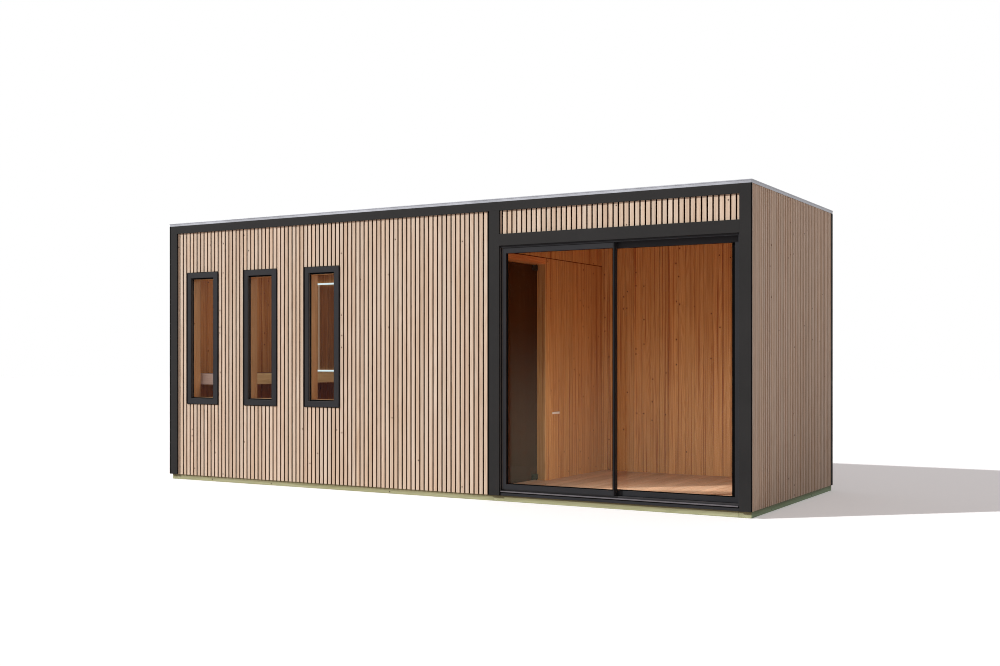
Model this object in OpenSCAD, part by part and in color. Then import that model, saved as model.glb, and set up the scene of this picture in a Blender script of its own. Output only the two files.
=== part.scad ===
// Sauna cabin: a flat-roofed timber box clad in upright slats. The right half is
// a lounge behind a two-leaf sliding glass door. The left part is the sauna room,
// with three narrow windows, reached through a glass door in the partition.
// X runs along the long front, the front faces -Y, and Z is up. The origin is the
// middle of the footprint at ground level. All sizes are in millimetres.

/* [Cabin] */
// Length over the roof edge
cabin_length = 6000; // [5700:50:6600]
// Depth over the roof edge
cabin_depth = 2270; // [2150:10:2600]
// Height from the ground to the roof edge
cabin_height = 2540; // [2500:10:2700]
// Thickness of the timber wall panels
wall_thickness = 68; // [58:1:80]
// Thickness of the board lining inside
lining_thickness = 16; // [12:1:20]

/* [Base and roof] */
// Height of the base beams
base_height = 50; // [45:5:95]
// Width of the base beams
beam_width = 100; // [70:5:120]
// How far the base stands back from the trim at the front
base_inset = 30; // [10:5:50]
// How far the base stands back from the trim at the rear
base_rear_inset = 5; // [5:5:50]
// How far the base stands back from the trim at the ends
base_end_inset = 12; // [5:1:30]
// Number of joists between the long beams, on the sauna's side
joists = 3; // [1:1:5]
// Thickness of the floor
floor_thickness = 40; // [28:1:45]
// Height of the metal roof edge
flashing_height = 28; // [24:1:45]
// How far the roof edge stands out from the trim
flashing_overhang = 2; // [2:1:20]

/* [Slatted cladding] */
// Spacing of the slats, counted out from the middle of each wall
slat_pitch = 46.36; // [40:0.02:60]
// Gap between two slats
slat_gap = 12; // [8:1:16]
// Thickness of a slat, from its face to the board behind
slat_depth = 20; // [14:1:24]
// Thickness of the dark board behind the slats
backing = 14; // [10:1:18]

/* [Trim] */
// Width of the corner posts and of the post beside the door
post_width = 98; // [80:2:120]
// How far the trim stands out from the slats
trim_reveal = 15; // [13:1:20]
// Height of the dark beam under the roof edge
top_beam = 74; // [60:2:100]
// Height of the dark board over the door
lintel_height = 99; // [80:1:120]
// Height of the slatted panel over the door
head_panel = 196; // [150:2:240]

/* [Windows] */
// Width of a window over its frame
window_width = 410; // [350:5:500]
// Height of a window over its frame
window_height = 1287; // [901:2:1401]
// Height of the frame's lower edge over the ground
window_sill = 754; // [600:2:900]
// Spacing of the window centres
window_pitch = 741; // [600:3:801]
// Distance of the first window's centre from the cabin's left end
window_first = 431; // [380:1:480]
// Width of the frame's face
frame_face = 52; // [40:1:65]

/* [Sliding door] */
// Distance of the doorway's left side from the cabin's middle
door_left = 812; // [740:2:900]
// Width of a leaf's stile beside the jamb
stile = 38; // [30:1:50]
// Width of the slim stiles where the leaves meet
meeting_stile = 18; // [16:1:40]
// Height of a leaf's lower rail
bottom_rail = 40; // [36:1:70]
// Height of a leaf's upper rail
top_rail = 52; // [45:1:60]
// Thickness of a leaf
leaf_depth = 38; // [32:1:42]

/* [Inside] */
// Right face of the partition, from the cabin's middle
partition_right = 750; // [700:5:790]
// Thickness of the partition
partition_thickness = 90; // [70:5:110]
// Width of the doorway beside the partition's solid part
inner_doorway = 806; // [700:2:860]
// Height of the inner doorway's head over the ground
inner_head = 2055; // [1950:5:2100]
// Depth of the bench, from the left wall to its front
bench_depth = 585; // [450:5:650]
// Height of the bench's top over the ground
bench_level = 1050; // [950:5:1150]

/* [Hidden] */
$fn = 48;

// Faces of the wall's layers, as distances from the middle, on the long sides (y)
// and at the ends (x), where the panels stay outside the doorway
trim_y = cabin_depth / 2 - flashing_overhang;
slat_y = trim_y - trim_reveal;
wall_y = slat_y - slat_depth - backing;
wall_in_y = wall_y - wall_thickness;
room_y = wall_in_y - lining_thickness;
trim_x = cabin_length / 2 - flashing_overhang;
end_reveal = 5;
slat_x = trim_x - end_reveal;
wall_x = slat_x - slat_depth - backing;
post_inner_x = trim_x - post_width;
wall_in_x = max(wall_x - wall_thickness, post_inner_x + 1);
room_x = wall_in_x - lining_thickness;

// Levels, from the ground up
floor_top = base_height + floor_thickness;
edge_z = cabin_height - flashing_height;
beam_z = edge_z - top_beam;
head_z = beam_z - head_panel;
door_top = head_z - lintel_height;
roof_thickness = 150;
roof_z = edge_z - roof_thickness;
ceiling_z = roof_z - lining_thickness;
roof_top = edge_z + 16;

// Trim
rear_post_depth = 40;
rear_post_y = trim_y - rear_post_depth;
post_left = door_left - post_width;

// Doorway and its two tracks; the left leaf runs in the outer one
door_right = post_inner_x;
left_jamb = 8;
right_jamb = 12;
frame_y = trim_y - 17;
leaf_clear = 6;
outer_leaf_y = frame_y - 8;
inner_leaf_y = outer_leaf_y - leaf_depth - leaf_clear;
sill_front_y = frame_y + 4;
leaf_z = floor_top + 14;
head_plate = 6;
head_lip = 18;
leaf_top = door_top - head_plate - leaf_clear;
meeting_lap = meeting_stile + 19;
meeting_x = (door_left + door_right) / 2 - 8;
left_leaf_x = door_left + left_jamb + leaf_clear;
left_leaf_end = meeting_x + meeting_lap / 2;
right_leaf_x = meeting_x - meeting_lap / 2;
right_leaf_end = door_right - right_jamb - 5;
pane = 8;
pane_back = 26;
rail_width = 6;
rail_height = 14;
groove_width = 20;
groove_height = 10;

// Windows: a frame, a sash set back in it, the pane, and boards through the wall.
// Depths are counted back from the frame's face
sash = 12;
sash_step = 12;
sash_back = 40;
window_proud = 12;
window_pane = 8;
window_pane_step = 25;
window_y = -slat_y - window_proud;
window_x = [for (i = [0:2]) -cabin_length / 2 + window_first + i * window_pitch];

// Inner doorway, its glass door and the pivot line
partition_left = partition_right - partition_thickness;
partition_end_y = -room_y + inner_doorway;
shadow_gap = 8;
shadow_gap_z = 2112;
glass_door = 8;
glass_door_x = partition_left + 2 + glass_door / 2;
pivot_y = partition_end_y - 18;
pivot_edge = 6;
glass_door_end = -room_y + 12;
glass_door_z = floor_top + 10;
glass_door_top = inner_head - 8;
patch_length = 94;
patch_height = 50;
patch_depth = 22;
pivot_pin = 12;
pin_clear = 2;

// Handle of the glass door
handle_y = glass_door_end + 58;
handle_z = 950;
handle_length = 300;
handle_d = 25;
handle_reach = 42;
post_d = 12;

// Bench and the lit panel above it
bench_top = 40;
bench_fascia = 20;
bench_fascia_height = 110;
bench_end_gap = 45;
support_height = 70;
support_width = 45;
panel_left = -room_x;
panel_width = 625;
panel_z = bench_level + 20;
panel_height = 969;
panel_depth = 20;
strip_height = 18;
strip_depth = 35;

// A box between two corners
module block(low, high) {
    translate(low)
        cube([high.x - low.x, high.y - low.y, high.z - low.z]);
}

// A slatted panel along the X axis, its slats towards -Y. The gaps are spaced out
// from x = 0, so that both edges may cut a slat, as the trim over them does
module slats(low_x, high_x, low_z, high_z, face_y) {
    first = ceil((low_x - slat_gap / 2) / slat_pitch);
    last = floor((high_x + slat_gap / 2) / slat_pitch);
    difference() {
        block([low_x, -face_y, low_z], [high_x, slat_depth + backing - face_y, high_z]);
        for (n = [first:last])
            block([n * slat_pitch - slat_gap / 2, -face_y - 1, low_z - 1],
                  [n * slat_pitch + slat_gap / 2, slat_depth - face_y, high_z + 1]);
    }
}

// A picture-frame ring round the window at x, set in by inset from the frame's outline,
// its front face at y = front
module window_ring(x, inset, width, front, depth) {
    reach = window_width / 2 - inset;
    low_z = window_sill + inset;
    high_z = window_sill + window_height - inset;
    difference() {
        block([x - reach, front, low_z], [x + reach, front + depth, high_z]);
        block([x - reach + width, front - 1, low_z + width],
              [x + reach - width, front + depth + 1, high_z - width]);
    }
}

// The openings of the three windows, each side grown by margin
module window_holes(margin, low_y, high_y) {
    for (x = window_x)
        block([x - window_width / 2 - margin, low_y, window_sill - margin],
              [x + window_width / 2 + margin, high_y, window_sill + window_height + margin]);
}

// --- Base, floor, ceiling and roof ---

base_x = trim_x - base_end_inset;
base_front = -trim_y + base_inset;
base_rear = trim_y - base_rear_inset;
bearer_x = [-base_x + beam_width / 2, door_left - 17, base_x - beam_width / 2];

// Two lengths on each long side, butted between the cross beams
module base_beams_long() {
    color("#a9ab82")
        for (y = [base_front, base_rear - beam_width], bay = [0, 1])
            block([bearer_x[bay] + beam_width / 2, y, 0],
                  [bearer_x[bay + 1] - beam_width / 2, y + beam_width, base_height]);
}

// Cross beams that run through from front to rear, and joists between the long beams
module base_beams_cross() {
    bay = (bearer_x[1] - bearer_x[0]) / (joists + 1);
    joist_x = [
        for (i = [1:joists]) bearer_x[0] + i * bay,
        (bearer_x[1] + bearer_x[2]) / 2
    ];
    color("#a9ab82") {
        for (x = bearer_x)
            block([x - beam_width / 2, base_front, 0],
                  [x + beam_width / 2, base_rear, base_height]);
        for (x = joist_x)
            block([x - beam_width / 2, base_front + beam_width, 0],
                  [x + beam_width / 2, base_rear - beam_width, base_height]);
    }
}

module floor_boards() {
    color("#d9b48a")
        block([-wall_in_x, -wall_in_y, base_height], [wall_in_x, wall_in_y, floor_top]);
}

module ceiling() {
    color("#a86a3e")
        block([-wall_in_x, -wall_in_y, ceiling_z], [wall_in_x, wall_in_y, roof_z]);
}

module roof() {
    color("#4a4b4d")
        block([-wall_x, -wall_y, roof_z], [wall_x, wall_y, roof_top]);
}

// One length of the roof edge, its outer face towards -Y, mitred at both ends
module flashing_length(length, out) {
    lip = 3;
    lip_height = 8;
    cap_width = 75;
    joint = 0.5;
    translate([0, -out, 0])
        intersection() {
            rotate([90, 0, 90])
                linear_extrude(length, center = true)
                    polygon([
                        [lip, edge_z], [15, edge_z], [15, roof_top], [cap_width, roof_top],
                        [cap_width, cabin_height], [0, cabin_height],
                        [0, cabin_height - lip_height], [lip, cabin_height - lip_height]
                    ]);
            linear_extrude(cabin_height + 1)
                polygon([
                    [-length / 2 + joint, 0], [length / 2 - joint, 0],
                    [length / 2 - joint - 2 * cap_width, 2 * cap_width],
                    [-length / 2 + joint + 2 * cap_width, 2 * cap_width]
                ]);
        }
}

module roof_flashing() {
    color("#a3a2aa")
        for (side = [0, 180]) {
            rotate([0, 0, side])
                flashing_length(cabin_length, cabin_depth / 2);
            rotate([0, 0, side + 90])
                flashing_length(cabin_depth, cabin_length / 2);
        }
}

// --- Walls and their lining ---

module front_wall() {
    color("#8d6b4a")
        difference() {
            block([-wall_in_x, -wall_y, base_height], [door_left, -wall_in_y, roof_z]);
            window_holes(-frame_face, -wall_y - 1, -wall_in_y + 1);
        }
}

module front_wall_over_door() {
    color("#8d6b4a")
        block([door_left, -wall_y, door_top], [wall_in_x, -wall_in_y, roof_z]);
}

module rear_wall() {
    color("#8d6b4a")
        block([-wall_in_x, wall_in_y, base_height], [wall_in_x, wall_y, roof_z]);
}

module end_wall(side) {
    color("#8d6b4a")
        let (x = side * (wall_x + wall_in_x) / 2, reach = (wall_x - wall_in_x) / 2)
        block([x - reach, -wall_y, base_height], [x + reach, wall_y, roof_z]);
}

module left_wall() {
    end_wall(-1);
}

module right_wall() {
    end_wall(1);
}

// The front's lining, with boards round each window that reach out to its sash
module front_lining() {
    color("#b9794a") {
        union() {
            difference() {
                block([-wall_in_x, -wall_in_y, floor_top], [door_left, -room_y, ceiling_z]);
                window_holes(-frame_face - sash, -wall_in_y - 1, -room_y + 1);
            }
            for (x = window_x)
                window_ring(x, frame_face, sash, window_y + sash_back,
                            -room_y - window_y - sash_back);
        }
        block([door_left + 1, -wall_in_y, door_top], [wall_in_x, -room_y, ceiling_z]);
    }
}

module rear_lining() {
    color("#b9794a")
        block([-wall_in_x, room_y, floor_top], [wall_in_x, wall_in_y, ceiling_z]);
}

module end_linings() {
    color("#b9794a")
        for (side = [-1, 1])
            let (x = side * (wall_in_x + room_x) / 2)
            block([x - lining_thickness / 2, -room_y, floor_top],
                  [x + lining_thickness / 2, room_y, ceiling_z]);
}

// --- Slatted cladding ---

module front_cladding() {
    color("#dcc3aa")
        difference() {
            slats(-post_inner_x, post_left, base_height, beam_z, slat_y);
            window_holes(0, -trim_y, -wall_y + 1);
        }
}

module door_head_cladding() {
    color("#dcc3aa")
        slats(door_left, door_right, head_z, beam_z, slat_y);
}

module end_cladding() {
    rotate([0, 0, 90])
        slats(-slat_y, rear_post_y, base_height, edge_z, slat_x);
}

module right_cladding() {
    color("#dcc3aa")
        end_cladding();
}

module left_cladding() {
    color("#dcc3aa")
        mirror([1, 0, 0])
            end_cladding();
}

module rear_cladding() {
    color("#dcc3aa")
        rotate([0, 0, 180])
            slats(-post_inner_x, post_inner_x, base_height, edge_z, slat_y);
}

// --- Dark trim ---

// A corner post: a stud beside the long side's slats with a lip over the end's
module corner_post(depth) {
    translate([0, 0, base_height])
        linear_extrude(edge_z - base_height)
            polygon([
                [post_inner_x, wall_y], [wall_x, wall_y], [wall_x, trim_y - depth],
                [trim_x, trim_y - depth], [trim_x, trim_y], [post_inner_x, trim_y]
            ]);
}

module front_corner_posts() {
    color("#373737")
        for (side = [0, 1])
            mirror([side, 0, 0])
                mirror([0, 1, 0])
                    corner_post(trim_reveal);
}

module rear_corner_posts() {
    color("#373737")
        for (side = [0, 1])
            mirror([side, 0, 0])
                corner_post(rear_post_depth);
}

module centre_post() {
    color("#373737")
        block([post_left, -trim_y, base_height], [door_left, -wall_y, beam_z]);
}

module front_beams() {
    color("#373737") {
        block([-post_inner_x, -trim_y, beam_z], [post_inner_x, -wall_y, edge_z]);
        block([door_left, -trim_y, door_top], [door_right, -wall_y, head_z]);
    }
}

// --- Windows ---

module window_frame(x) {
    color("#3a3c3e")
        union() {
            window_ring(x, 0, frame_face, window_y, -wall_y - window_y);
            window_ring(x, frame_face - 1, sash + 1, window_y + sash_step, sash_back - sash_step);
        }
}

module window_frame_left() {
    window_frame(window_x[0]);
}

module window_frame_middle() {
    window_frame(window_x[1]);
}

module window_frame_right() {
    window_frame(window_x[2]);
}

module window_panes() {
    rim = frame_face + sash;
    pane_y = window_y + window_pane_step;
    color([0.55, 0.62, 0.66, 0.35])
        for (x = window_x)
            block([x - window_width / 2 + rim, pane_y, window_sill + rim],
                  [x + window_width / 2 - rim, pane_y + window_pane,
                   window_sill + window_height - rim]);
}

// --- Sliding door ---

// Head channel seen from the end, open below so that the leaves run up into it
module door_frame_head() {
    lip = 3;
    color("#3a3b3d")
        translate([door_left, 0, 0])
            rotate([90, 0, 90])
                linear_extrude(door_right - door_left)
                    polygon([
                        [-frame_y, door_top - head_lip], [-frame_y + lip, door_top - head_lip],
                        [-frame_y + lip, door_top - head_plate],
                        [-room_y - lip, door_top - head_plate],
                        [-room_y - lip, door_top - head_lip], [-room_y, door_top - head_lip],
                        [-room_y, door_top], [-frame_y, door_top]
                    ]);
}

module door_frame_jambs() {
    color("#3a3b3d") {
        block([door_left, -frame_y, floor_top],
              [door_left + left_jamb, -room_y, door_top - head_lip]);
        block([door_right - right_jamb, -frame_y, floor_top],
              [door_right, -room_y, door_top - head_lip]);
    }
}

module door_sill() {
    color("#3a3b3d")
        block([door_left, -sill_front_y, base_height], [door_right, -wall_in_y, floor_top]);
}

// The sill's bright nosing, and the two rails that the leaves run on
module door_rails() {
    nosing = 4;
    nosing_height = 10;
    low_x = door_left + left_jamb;
    high_x = door_right - right_jamb;
    color("#9a979b") {
        block([low_x, -sill_front_y - nosing, floor_top - nosing_height],
              [high_x, -sill_front_y, floor_top]);
        for (y = [-outer_leaf_y, -inner_leaf_y])
            block([low_x, y + leaf_depth / 2 - rail_width / 2, floor_top],
                  [high_x, y + leaf_depth / 2 + rail_width / 2, floor_top + rail_height]);
    }
}

// A leaf's frame, grooved below for the rail
module leaf_frame(low_x, high_x, left_stile, right_stile, face_y) {
    middle_y = -face_y + leaf_depth / 2;
    color("#3a3b3d")
        difference() {
            block([low_x, -face_y, leaf_z], [high_x, -face_y + leaf_depth, leaf_top]);
            block([low_x + left_stile, -face_y - 1, leaf_z + bottom_rail],
                  [high_x - right_stile, -face_y + leaf_depth + 1, leaf_top - top_rail]);
            block([low_x - 1, middle_y - groove_width / 2, leaf_z - 1],
                  [high_x + 1, middle_y + groove_width / 2, leaf_z + groove_height]);
        }
}

module leaf_glass(low_x, high_x, face_y) {
    color([0.55, 0.62, 0.66, 0.35])
        block([low_x, -face_y + pane_back, leaf_z + bottom_rail],
              [high_x, -face_y + pane_back + pane, leaf_top - top_rail]);
}

module left_leaf_frame() {
    leaf_frame(left_leaf_x, left_leaf_end, stile, meeting_stile, outer_leaf_y);
}

module left_leaf_glass() {
    leaf_glass(left_leaf_x + stile, left_leaf_end - meeting_stile, outer_leaf_y);
}

module right_leaf_frame() {
    leaf_frame(right_leaf_x, right_leaf_end, meeting_stile, stile, inner_leaf_y);
}

module right_leaf_glass() {
    leaf_glass(right_leaf_x + meeting_stile, right_leaf_end - stile, inner_leaf_y);
}

// --- Partition and its glass door ---

module shadow_gap_cut(low_y, high_y) {
    block([partition_right - shadow_gap, low_y, shadow_gap_z - shadow_gap / 2],
          [partition_right + 1, high_y, shadow_gap_z + shadow_gap / 2]);
}

module partition_wall() {
    color("#b9794a")
        difference() {
            block([partition_left, partition_end_y, floor_top],
                  [partition_right, room_y, ceiling_z]);
            shadow_gap_cut(partition_end_y - 1, room_y + 1);
        }
}

module partition_header() {
    color("#b9794a")
        difference() {
            block([partition_left, -room_y, inner_head],
                  [partition_right, partition_end_y, ceiling_z]);
            shadow_gap_cut(-room_y - 1, partition_end_y + 1);
        }
}

module partition_vent() {
    vent_length = 134;
    vent_height = 20;
    vent_y = 0;
    vent_z = 698;
    color("#e8ddd0")
        block([partition_right, vent_y - vent_length / 2, vent_z - vent_height / 2],
              [partition_right + 8, vent_y + vent_length / 2, vent_z + vent_height / 2]);
}

module patch_space(grow) {
    for (z = [glass_door_z, glass_door_top - patch_height])
        block([glass_door_x - patch_depth / 2 - grow, pivot_y + pivot_edge - patch_length, z],
              [glass_door_x + patch_depth / 2 + grow, pivot_y + pivot_edge, z + patch_height]);
}

module sauna_door_glass() {
    color([0.20, 0.14, 0.10, 0.75])
        difference() {
            block([glass_door_x - glass_door / 2, glass_door_end, glass_door_z],
                  [glass_door_x + glass_door / 2, pivot_y + pivot_edge, glass_door_top]);
            patch_space(1);
        }
}

module sauna_door_pivots() {
    color("#3a3b3d") {
        patch_space(0);
        translate([glass_door_x, pivot_y, floor_top + pin_clear])
            cylinder(h = glass_door_z - floor_top - pin_clear + 1, d = pivot_pin);
        translate([glass_door_x, pivot_y, glass_door_top - 1])
            cylinder(h = inner_head - pin_clear - glass_door_top + 1, d = pivot_pin);
    }
}

module sauna_door_handle() {
    inset = 40;
    color("#b98a5c")
        for (side = [-1, 1])
            translate([glass_door_x + side * glass_door / 2, handle_y, handle_z]) {
                translate([side * handle_reach, 0, 0])
                    cylinder(h = handle_length, d = handle_d);
                for (z = [inset, handle_length - inset])
                    translate([0, 0, z])
                        rotate([0, side * 90, 0])
                            cylinder(h = handle_reach, d = post_d);
            }
}

// --- Sauna bench and the lit panel ---

module bench() {
    front_x = -room_x + bench_depth;
    near_y = -room_y + bench_end_gap;
    under = bench_level - bench_fascia_height;
    color("#c9a36f")
        union() {
            block([-room_x, near_y, bench_level - bench_top], [front_x, room_y, bench_level]);
            block([front_x - bench_fascia, near_y, under], [front_x, room_y, bench_level]);
            block([-room_x, near_y, under], [front_x, near_y + bench_fascia, bench_level]);
        }
}

module bench_supports() {
    front_x = -room_x + bench_depth - bench_fascia;
    near_y = -room_y + bench_end_gap + bench_fascia;
    top = bench_level - bench_top;
    color("#c9a36f")
        for (y = [near_y, (near_y + room_y - support_width) / 2, room_y - support_width])
            block([-room_x, y, top - support_height], [front_x, y + support_width, top]);
}

module light_panel() {
    color("#9c6a3c")
        block([panel_left, room_y - panel_depth, panel_z],
              [panel_left + panel_width, room_y, panel_z + panel_height]);
}

module light_strips() {
    color("#f4f6f2")
        for (z = [panel_z - strip_height, panel_z + panel_height])
            block([panel_left, room_y - strip_depth, z],
                  [panel_left + panel_width, room_y, z + strip_height]);
}

base_beams_long();
base_beams_cross();
floor_boards();  // floor
front_wall();
front_wall_over_door();
rear_wall();
left_wall();
right_wall();
front_lining();
rear_lining();
end_linings();
ceiling();
roof();
roof_flashing();
front_cladding();
door_head_cladding();
left_cladding();
right_cladding();
rear_cladding();
front_corner_posts();
centre_post();
rear_corner_posts();
front_beams();
window_frame_left();
window_frame_middle();
window_frame_right();
window_panes();
door_frame_head();
door_frame_jambs();
door_sill();
door_rails();
left_leaf_frame();
left_leaf_glass();
right_leaf_frame();
right_leaf_glass();
partition_wall();
partition_header();
partition_vent();
sauna_door_glass();
sauna_door_pivots();
sauna_door_handle();
bench();
bench_supports();
light_panel();
light_strips();
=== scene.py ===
"""Looks of the sauna cabin: slats, boards, metalwork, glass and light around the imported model.

Everything is in metres in the model's own frame: X along the front, the front faces -Y, Z up.
New pieces are made of straight bars that take their places from the boxes of the CAD nodes.
"""

import math
import random

import bpy
from mathutils import Matrix, Vector


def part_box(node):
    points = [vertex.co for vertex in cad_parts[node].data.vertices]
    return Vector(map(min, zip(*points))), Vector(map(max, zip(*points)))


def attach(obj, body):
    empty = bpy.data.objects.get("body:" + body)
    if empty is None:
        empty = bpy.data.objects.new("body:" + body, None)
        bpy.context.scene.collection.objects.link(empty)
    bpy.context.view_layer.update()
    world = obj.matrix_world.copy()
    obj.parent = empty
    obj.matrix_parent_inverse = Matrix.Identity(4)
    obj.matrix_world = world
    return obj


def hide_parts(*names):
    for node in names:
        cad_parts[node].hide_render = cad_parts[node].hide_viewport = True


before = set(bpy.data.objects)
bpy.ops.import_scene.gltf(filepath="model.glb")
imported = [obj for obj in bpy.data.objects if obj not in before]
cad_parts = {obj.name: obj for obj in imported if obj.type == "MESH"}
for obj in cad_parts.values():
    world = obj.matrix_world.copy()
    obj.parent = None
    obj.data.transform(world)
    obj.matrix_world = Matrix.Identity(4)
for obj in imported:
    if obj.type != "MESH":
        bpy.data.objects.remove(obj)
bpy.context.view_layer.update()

X, Y, Z = 0, 1, 2
MM = 0.001
WINDOWS = ("left", "middle", "right")

# Cladding, as the part's source has it
SLAT_PITCH = 46.36 * MM
SLAT_GAP = 12 * MM
SLAT_DEPTH = 20 * MM
BACKING = 14 * MM
SLAT_CHAMFER = 1.6 * MM

# How far back a slat's sides are brown before they turn dark, both painted shade of the groove:
# long walls, end walls
BROWN_DEPTH = 4 * MM
END_BROWN_DEPTH = 6 * MM

# Windows, as the part's source has them, and the dark gap round their frames
FRAME_FACE = 52 * MM
SASH = 12 * MM
SASH_STEP = 12 * MM
SASH_BACK = 40 * MM
PANE_STEP = 25 * MM
WINDOW_GAP = 6 * MM

# Window seals: a black line of painted shade on the frame, and in its opening a lip and then a
# pale bead, partly a painted highlight, by depth
SHADE_LINE_START, SHADE_LINE_END = 2 * MM, 17 * MM
SHADE_LINE_PROUD, SHADE_LINE_SUNK = 0.5 * MM, 6 * MM
LIP_DEPTH, BEAD_DEPTH = 9 * MM, 18 * MM
LIP_TUCK = 1 * MM
LEFT_LIP, LEFT_BEAD = 9 * MM, 14 * MM
RIGHT_LIP, RIGHT_BEAD = 3 * MM, 8 * MM

# Boards inside
BOARD_WIDTH = 90 * MM
BOARD_CHAMFER = 2.2 * MM
BOARD_JOINT = 2.0 * MM
LINING = 16 * MM

# The partition: the board on its free end, and the gap above the door, 2.112 m up, dark at its
# back with painted shade
END_BOARD = 40 * MM
GAP_MIDDLE = 2.112
GAP_HEIGHT = 8 * MM
GAP_DEPTH = 4 * MM

# The sliding door's sill and rails
NOSING = 4 * MM
RAIL_WIDTH = 6 * MM

# Gaskets round the glass of the leaves, the right leaf's right one wide, partly painted shade over
# its stile, and the strips on the leaves' own edges, some of them painted shade or a painted
# highlight
GASKET_PROUD = 3 * MM
GASKET_LEFT = 8 * MM
GASKET_RIGHT = {"left": 16 * MM, "right": 33 * MM}
GASKET_FOOT = 8 * MM
GASKET_HEAD = 2 * MM
BRUSH_START, BRUSH_END = 5 * MM, 12 * MM
LEAF_HIGHLIGHT = 6 * MM
LEAF_LIP = 11 * MM

# Thin lines beside the posts and under the sill's nosing, black with painted shade, and on the
# jamb, pale with a painted highlight
POST_SHADE_LINE = 19 * MM
POST_SHADE_LINE_SUNK = 10 * MM
LEFT_CORNER_LINE = 11 * MM
RIGHT_CORNER_LINE = 7 * MM
JAMB_HIGHLIGHT = 6 * MM
SILL_SHADE_TOP, SILL_SHADE_FOOT = 10 * MM, 18 * MM

# How far a thin strip stands in front of the face it lies on, and how far it is let into it
SKIN = 1 * MM

# The bench, and the panel over it with a glowing strip of painted light
FASCIA = 20 * MM
FASCIA_DROP = 1 * MM
PLANK_WIDTH = 95 * MM
PLANK_GAP = 8 * MM
PLANK_DEPTH = 28 * MM
PANEL_BOARD = 100 * MM
LIT_START, LIT_END = 66 * MM, 80 * MM
LIT_PROUD = 3 * MM

# Chamfers of bars, from edges that nobody sees to the planks of the bench
HIDDEN_EDGE = 0.1 * MM
FINE_EDGE = 0.3 * MM
STRIP_EDGE = 0.5 * MM
REVEAL_EDGE = 0.6 * MM
BEAD_EDGE = 0.8 * MM
PLAIN_EDGE = 1.0 * MM
HEAD_EDGE = 1.5 * MM
PLANK_EDGE = 2.5 * MM


# --- Small helpers ---


def rgb(red, green, blue):
    """A colour given as it shows on a screen, from 0 to 255, as the renderer's own values."""

    def linear(value):
        value /= 255
        return value / 12.92 if value <= 0.04045 else ((value + 0.055) / 1.055) ** 2.4

    return (linear(red), linear(green), linear(blue), 1.0)


def even_steps(span, width):
    """How many strips of about this width fill the span, and their exact width."""
    count = max(1, round(span / width))
    return count, span / count


def outside(box, holes):
    """The rectangles (x0, x1, z0, z1) that are left of one when the holes are cut out."""
    parts = [box]
    for hx0, hx1, hz0, hz1 in holes:
        cut = []
        for x0, x1, z0, z1 in parts:
            if hx1 <= x0 or hx0 >= x1 or hz1 <= z0 or hz0 >= z1:
                cut.append((x0, x1, z0, z1))
                continue
            low, high = max(z0, hz0), min(z1, hz1)
            cut += [(x0, x1, z0, low), (x0, x1, high, z1)]
            cut += [(x0, hx0, low, high), (hx1, x1, low, high)]
        parts = [p for p in cut if p[1] - p[0] > MM and p[3] - p[2] > MM]
    return parts


def show(name, data):
    """Puts a new object with this mesh, lamp or camera into the scene."""
    made = bpy.data.objects.new(name, data)
    bpy.context.scene.collection.objects.link(made)
    return made


def point_at(thing, aim):
    """Turns a camera or lamp to look in a direction, with its top up."""
    thing.rotation_euler = Vector(aim).to_track_quat("-Z", "Y").to_euler()


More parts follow.
